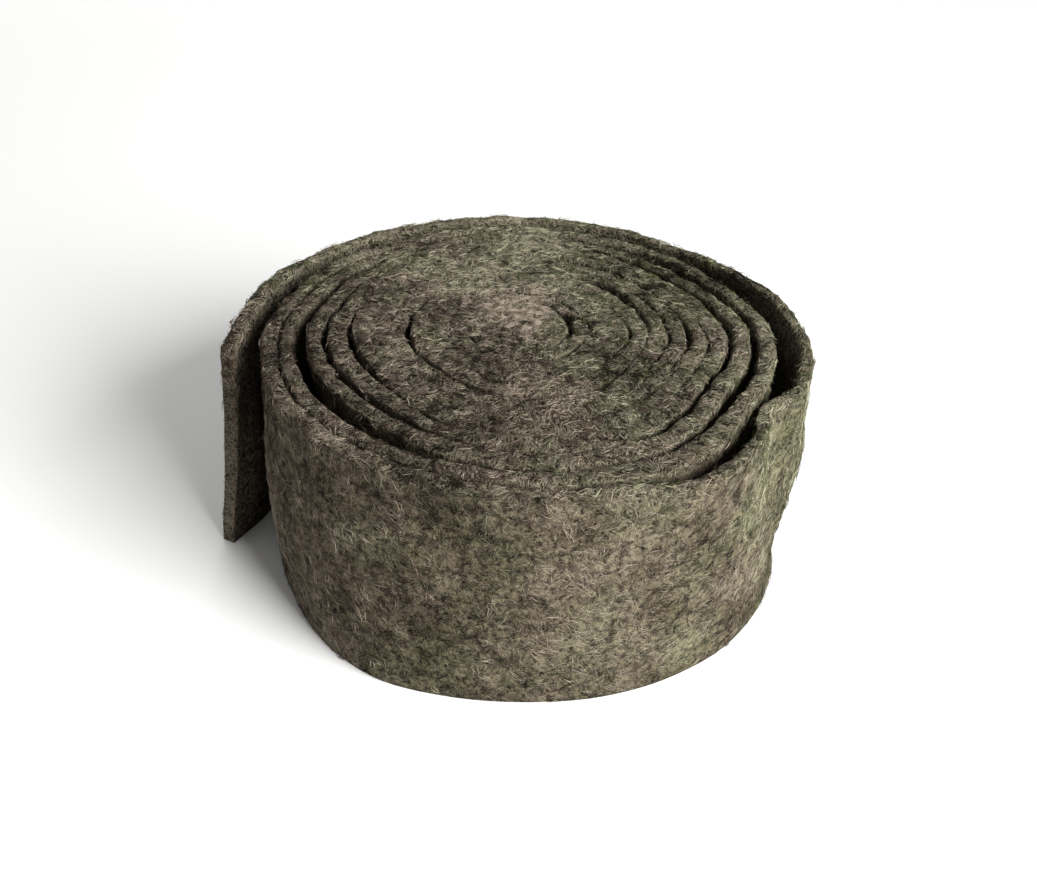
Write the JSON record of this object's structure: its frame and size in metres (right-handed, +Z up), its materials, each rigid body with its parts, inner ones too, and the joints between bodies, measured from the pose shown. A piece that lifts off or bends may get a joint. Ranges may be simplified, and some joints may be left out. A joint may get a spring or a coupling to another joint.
{
  "type": "roll of felt",
  "caption": "Strip of thick grey-brown wool felt, wound into a roll that stands on its edge, with the last turn loose and its end hanging away at one side.",
  "frame": {"origin": "middle of the roll's outline, on the surface that it stands on", "axes": "+Z up, along the axis that the strip is wound about; +X to the right and +Y away from a viewer who has the loose end on the left"},
  "size_m": [0.1246, 0.11, 0.05],
  "materials": {
    "wool_felt": "dense pressed wool, dark brown ground under light grey-beige curly fibres, fully matt, fuzzy at the cut edges"
  },
  "bodies": {
    "root": {"felt_roll": "wool_felt"}
  },
  "joints": []
}
